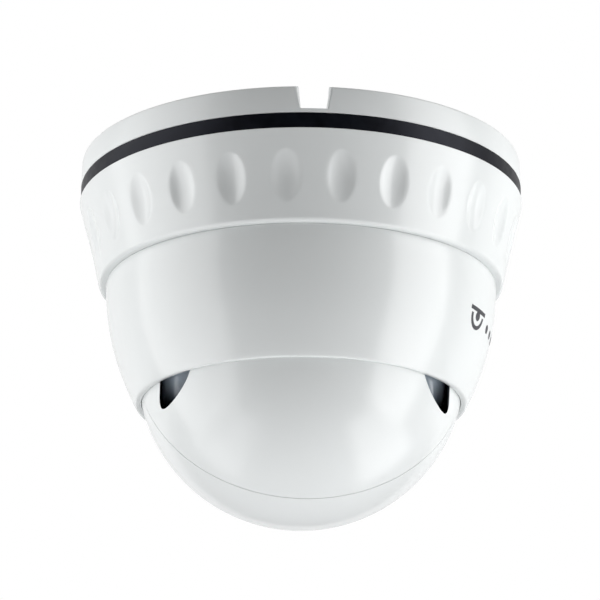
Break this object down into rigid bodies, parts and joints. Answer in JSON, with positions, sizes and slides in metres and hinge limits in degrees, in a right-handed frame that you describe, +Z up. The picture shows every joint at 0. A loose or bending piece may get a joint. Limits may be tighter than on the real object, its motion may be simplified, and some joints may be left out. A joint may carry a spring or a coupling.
{
  "type": "dome cctv camera",
  "caption": "Ceiling dome camera with a twist-on trim ring, a panning turret and a tilting eyeball whose lens head also rolls.",
  "frame": {"origin": "centre of the base plate's back plane, which lies on the ceiling", "axes": "+Z up into the ceiling, -Y towards the cable outlet in the rim, +Y the way the lens looks, X along the tilt axis"},
  "size_m": [0.122, 0.122, 0.1025],
  "materials": {
    "white_plastic": "glossy white injection-moulded plastic, very fine orange peel",
    "white_metal": "white painted die-cast alloy, satin gloss",
    "black_rubber": "matt black rubber",
    "dark_plastic": "polished blue-black plastic",
    "black_plastic": "fine-grained black plastic",
    "nylon": "natural nylon, satin",
    "steel": "zinc-plated steel",
    "aluminium": "bead-blasted die-cast aluminium",
    "board": "green solder mask on glass-fibre board",
    "glass": "smoked window glass, polished",
    "lens_glass": "coated optical glass, polished",
    "foam": "black closed-cell foam",
    "chip": "moulded epoxy"
  },
  "bodies": {
    "base": {"base_plate": "white_metal", "base_gasket": "black_rubber", "cable_grommet": "black_rubber", "pan_friction_ring": "nylon"},
    "twist_ring": {"trim_ring": "white_plastic"},
    "turret": {"pan_plate": "steel", "turret_shell": "white_plastic", "yoke_arm_left": "dark_plastic", "yoke_arm_right": "dark_plastic", "shell_screw_1": "steel", "shell_screw_2": "steel", "shell_screw_3": "steel", "arm_screw_1": "steel", "arm_screw_2": "steel", "arm_screw_3": "steel", "arm_screw_4": "steel"},
    "eyeball": {"rear_cover": "white_plastic", "tilt_frame": "aluminium", "seam_band": "black_rubber", "pivot_screw_left": "steel", "friction_washer_left": "nylon", "wave_washer_left": "steel", "pivot_screw_right": "steel", "friction_washer_right": "nylon", "wave_washer_right": "steel", "cover_screw_1": "steel", "cover_screw_2": "steel", "cover_screw_3": "steel", "cover_screw_4": "steel"},
    "lens_head": {"front_cover": "white_plastic", "window_gasket": "black_rubber", "window_glass": "glass", "window_mask": "black_plastic", "window_o_ring": "black_rubber", "light_shield_ring": "foam", "ir_board": "board", "ir_led_1": "chip", "ir_led_2": "chip", "ir_led_3": "chip", "ir_led_4": "chip", "ir_led_5": "chip", "ir_led_6": "chip", "light_sensor": "chip", "lens_barrel": "black_plastic", "front_lens": "lens_glass", "rear_lens": "lens_glass", "lens_mount": "black_plastic", "image_sensor": "chip", "sensor_board": "board", "main_board": "board", "heat_sink": "aluminium", "rear_housing": "aluminium", "roll_clip": "steel", "cable_gland": "black_plastic", "housing_screw_1": "steel", "housing_screw_2": "steel", "housing_screw_3": "steel", "housing_screw_4": "steel"}
  },
  "joints": [
    {"name": "ring_twist", "type": "hinge", "parent": "base", "child": "twist_ring", "pos_m": [0, 0, -0.024], "axis": [0, 0, -1], "range_deg": [0, 25]},
    {"name": "pan", "type": "hinge", "parent": "base", "child": "turret", "pos_m": [0, 0, -0.058], "axis": [0, 0, 1], "range_deg": [-177.5, 177.5]},
    {"name": "tilt", "type": "hinge", "parent": "turret", "child": "eyeball", "pos_m": [0, 0, -0.058], "axis": [1, 0, 0], "range_deg": [-69, 6]},
    {"name": "roll", "type": "hinge", "parent": "eyeball", "child": "lens_head", "pos_m": [0, 0, -0.058], "axis": [0, 0.9336, -0.3584], "range_deg": [-177.5, 177.5]}
  ]
}
